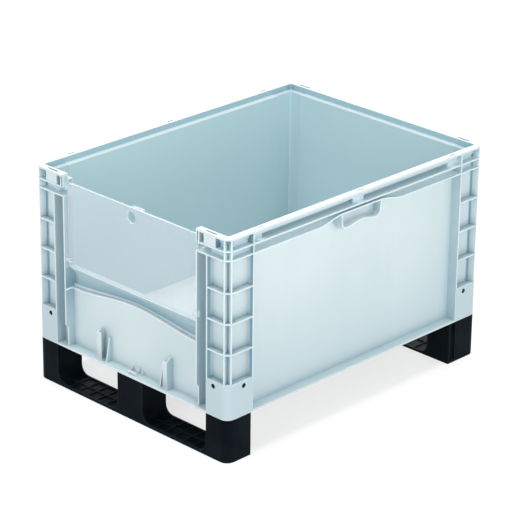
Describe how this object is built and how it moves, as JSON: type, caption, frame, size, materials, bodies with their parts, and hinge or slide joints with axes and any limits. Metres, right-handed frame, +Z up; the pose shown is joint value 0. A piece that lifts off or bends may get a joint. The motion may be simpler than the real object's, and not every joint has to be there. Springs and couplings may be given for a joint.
{
  "type": "plastic crate on runners",
  "caption": "Open stackable plastic crate on two runners, with a pick opening in one short side that a clear hinged flap closes.",
  "frame": {"origin": "centre of the crate's footprint on the floor", "axes": "+Z up, -Y out of the short side with the pick opening, X along that side"},
  "size_m": [0.6, 0.8, 0.51],
  "materials": {
    "crate_plastic": "satin",
    "clear_plastic": "clear gloss",
    "black_plastic": "satin",
    "steel": "zinc plated"
  },
  "bodies": {
    "crate": {"crate_body": "crate_plastic", "front_runner": "black_plastic", "front_runner_screw_1": "steel", "front_runner_screw_2": "steel", "front_runner_screw_3": "steel", "front_runner_screw_4": "steel", "front_runner_screw_5": "steel", "front_runner_screw_6": "steel", "rear_runner": "black_plastic", "rear_runner_screw_1": "steel", "rear_runner_screw_2": "steel", "rear_runner_screw_3": "steel", "rear_runner_screw_4": "steel", "rear_runner_screw_5": "steel", "rear_runner_screw_6": "steel"},
    "flap": {"front_flap": "clear_plastic"}
  },
  "joints": [
    {"name": "flap_hinge", "type": "hinge", "parent": "crate", "child": "flap", "pos_m": [0, -0.394, 0.313], "axis": [1, 0, 0], "range_deg": [0, 180]}
  ]
}
